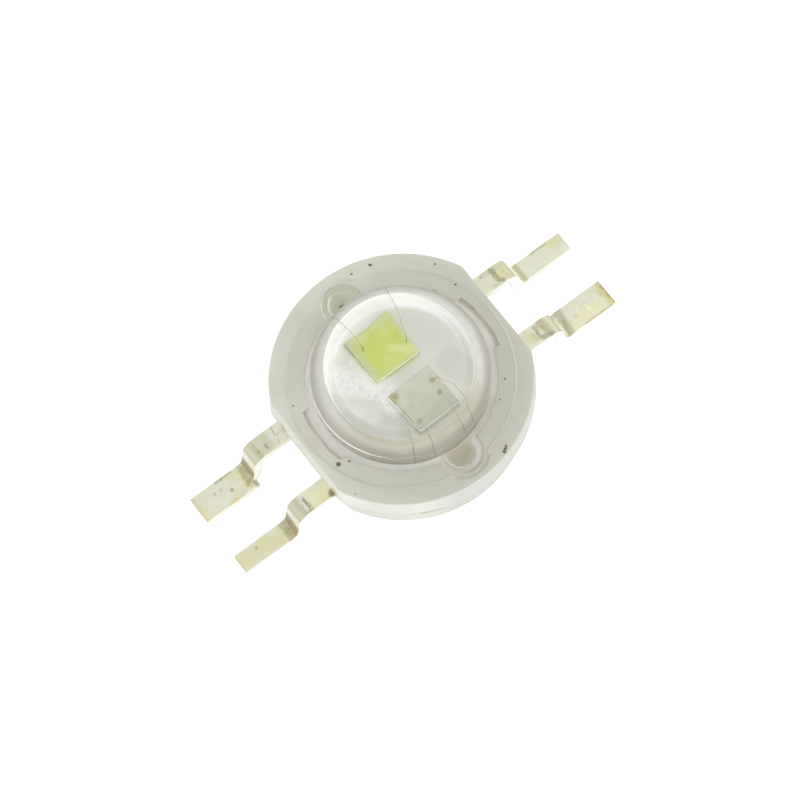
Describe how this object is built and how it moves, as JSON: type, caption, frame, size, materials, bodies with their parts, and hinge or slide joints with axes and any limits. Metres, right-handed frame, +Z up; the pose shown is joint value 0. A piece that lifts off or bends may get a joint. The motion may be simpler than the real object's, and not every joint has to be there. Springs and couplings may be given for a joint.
{
  "type": "high power led",
  "caption": "Surface mount high power LED: round moulded body with two flats, gull wing solder leads and a clear domed lens over a bright cup with bare and phosphor coated chips.",
  "frame": {"origin": "centre of the underside of the heat slug, on the seating plane", "axes": "+Z up along the lens axis, +X along the leads, +Y across them"},
  "size_m": [0.0142, 0.008, 0.0054],
  "materials": {
    "body_plastic": "moulded, satin, off-white",
    "lens_clear": "clear moulded plastic, polished",
    "lens_bond": "cured adhesive",
    "clear_gel": "clear soft gel",
    "slug_silver": "plated, bright",
    "lead_plate": "plated lead frame, satin, tarnished",
    "chip": "semiconductor chip, translucent grey",
    "phosphor": "yellow green phosphor in resin",
    "chip_bond": "chip bonding layer",
    "chip_pad": "thin metal bonding pads",
    "bond_wire": "drawn fine wire"
  },
  "bodies": {
    "root": {"housing": "body_plastic", "heat_slug": "slug_silver", "lead_left_wide": "lead_plate", "lead_left_narrow": "lead_plate", "lead_right_narrow": "lead_plate", "lead_right_wide": "lead_plate", "lens": "lens_clear", "lens_adhesive": "lens_bond", "encapsulant": "clear_gel", "white_die": "chip", "white_die_attach": "chip_bond", "phosphor_coat": "phosphor", "clear_die": "chip", "clear_die_attach": "chip_bond", "white_wire_left": "bond_wire", "white_wire_right": "bond_wire", "clear_wire_long": "bond_wire", "clear_wire_left": "bond_wire", "clear_wire_slack": "bond_wire", "clear_wire_right": "bond_wire", "white_die_pads": "chip_pad", "clear_die_pads": "chip_pad"}
  },
  "joints": []
}
